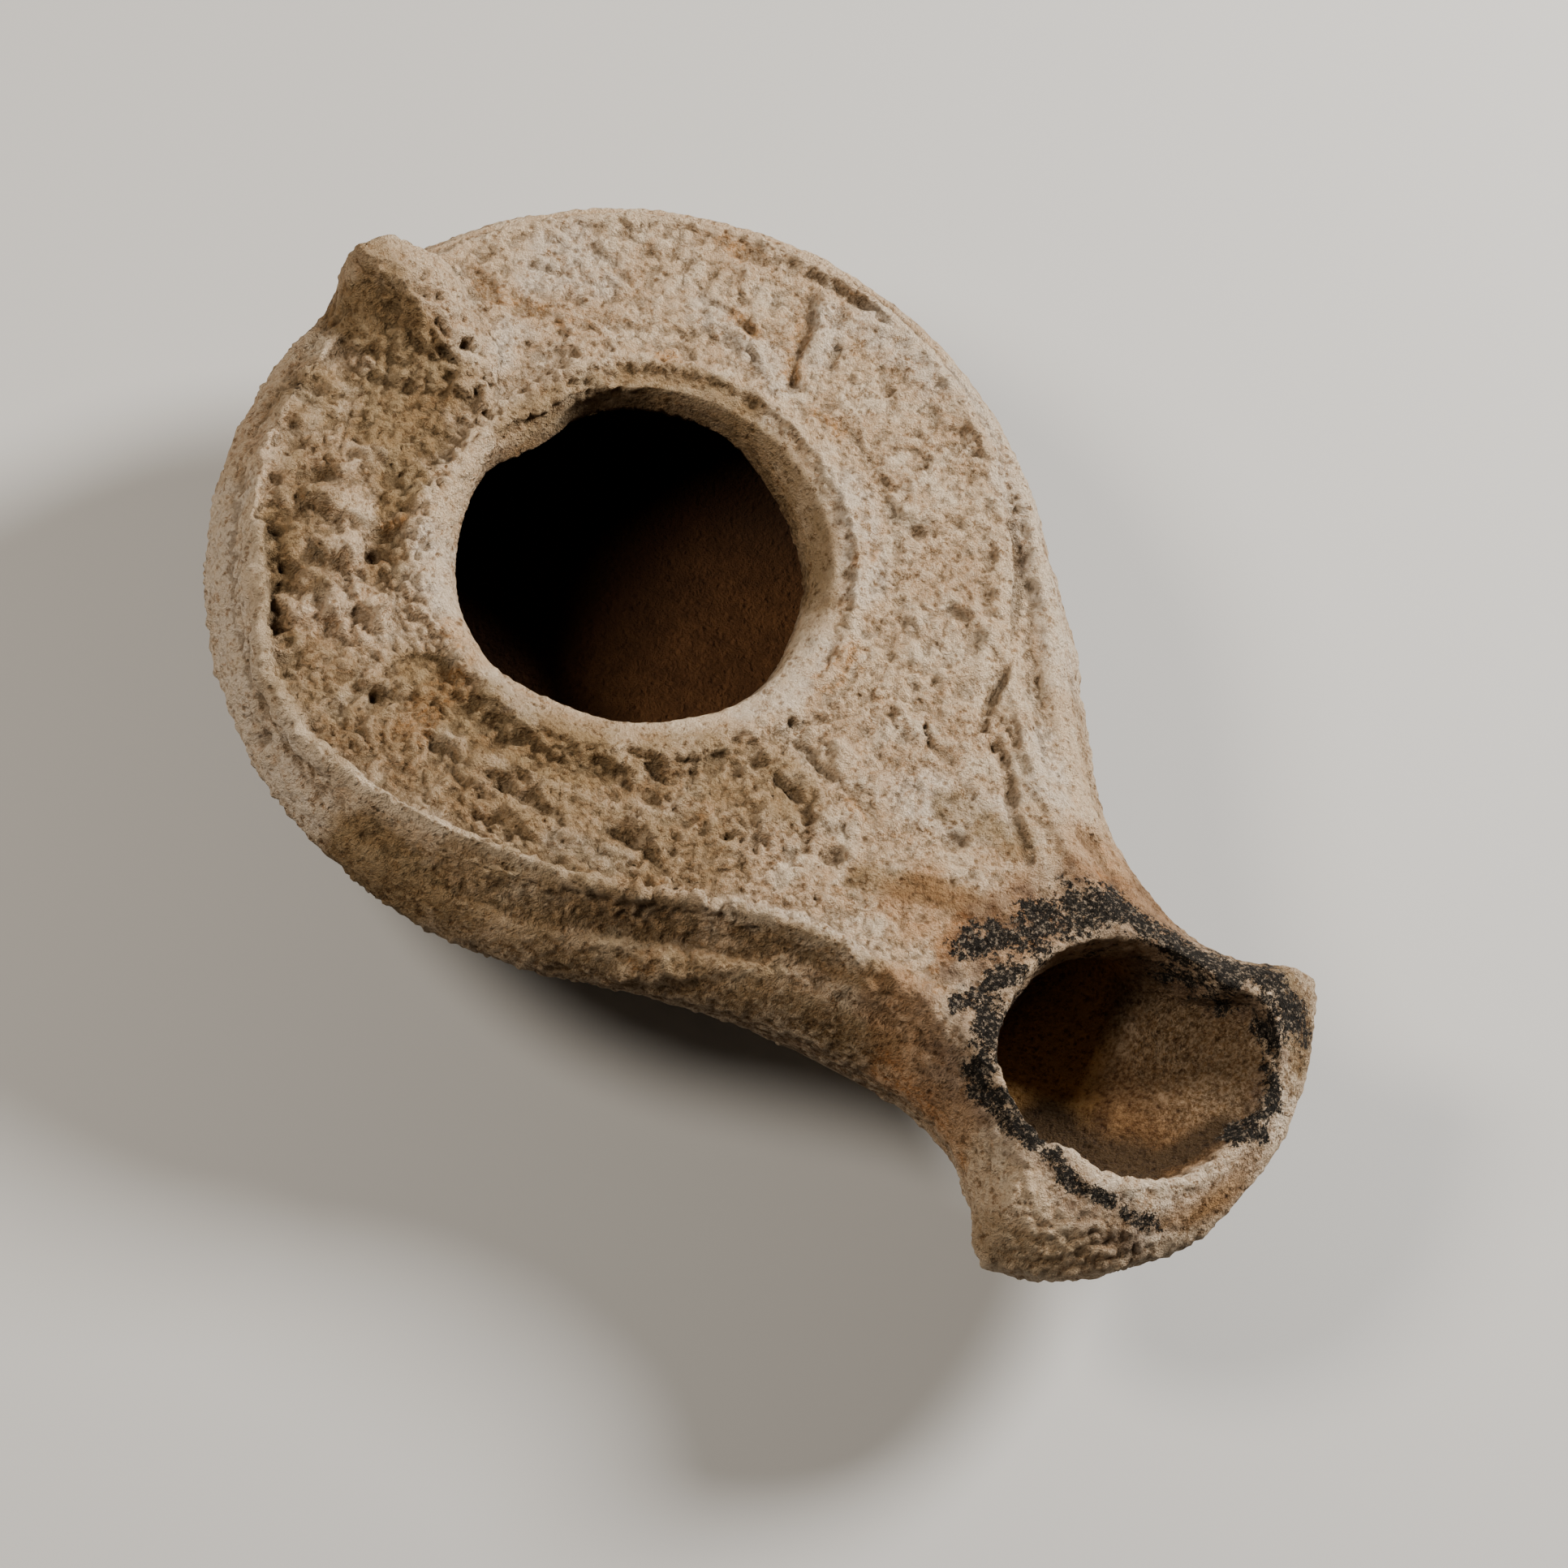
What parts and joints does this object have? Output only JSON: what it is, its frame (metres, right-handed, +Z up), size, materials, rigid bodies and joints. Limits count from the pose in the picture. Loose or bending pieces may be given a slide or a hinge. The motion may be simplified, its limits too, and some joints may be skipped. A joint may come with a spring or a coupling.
{
  "type": "oil lamp",
  "caption": "Worn terracotta oil lamp: round body, bow-shaped nozzle, pyramid handle, scroll-ring shoulder, wide filling hole and open wick hole.",
  "frame": {"origin": "middle of the foot, on the plane the lamp stands on", "axes": "+Z up, +Y from the nozzle towards the handle, +X to the right when looking from the nozzle's tip at the handle with +Z up"},
  "size_m": [0.0618, 0.0937, 0.0281],
  "materials": {
    "clay": "matt, worn and weathered buff clay, soot round the wick hole"
  },
  "bodies": {
    "root": {"oil_lamp": "clay"}
  },
  "joints": []
}
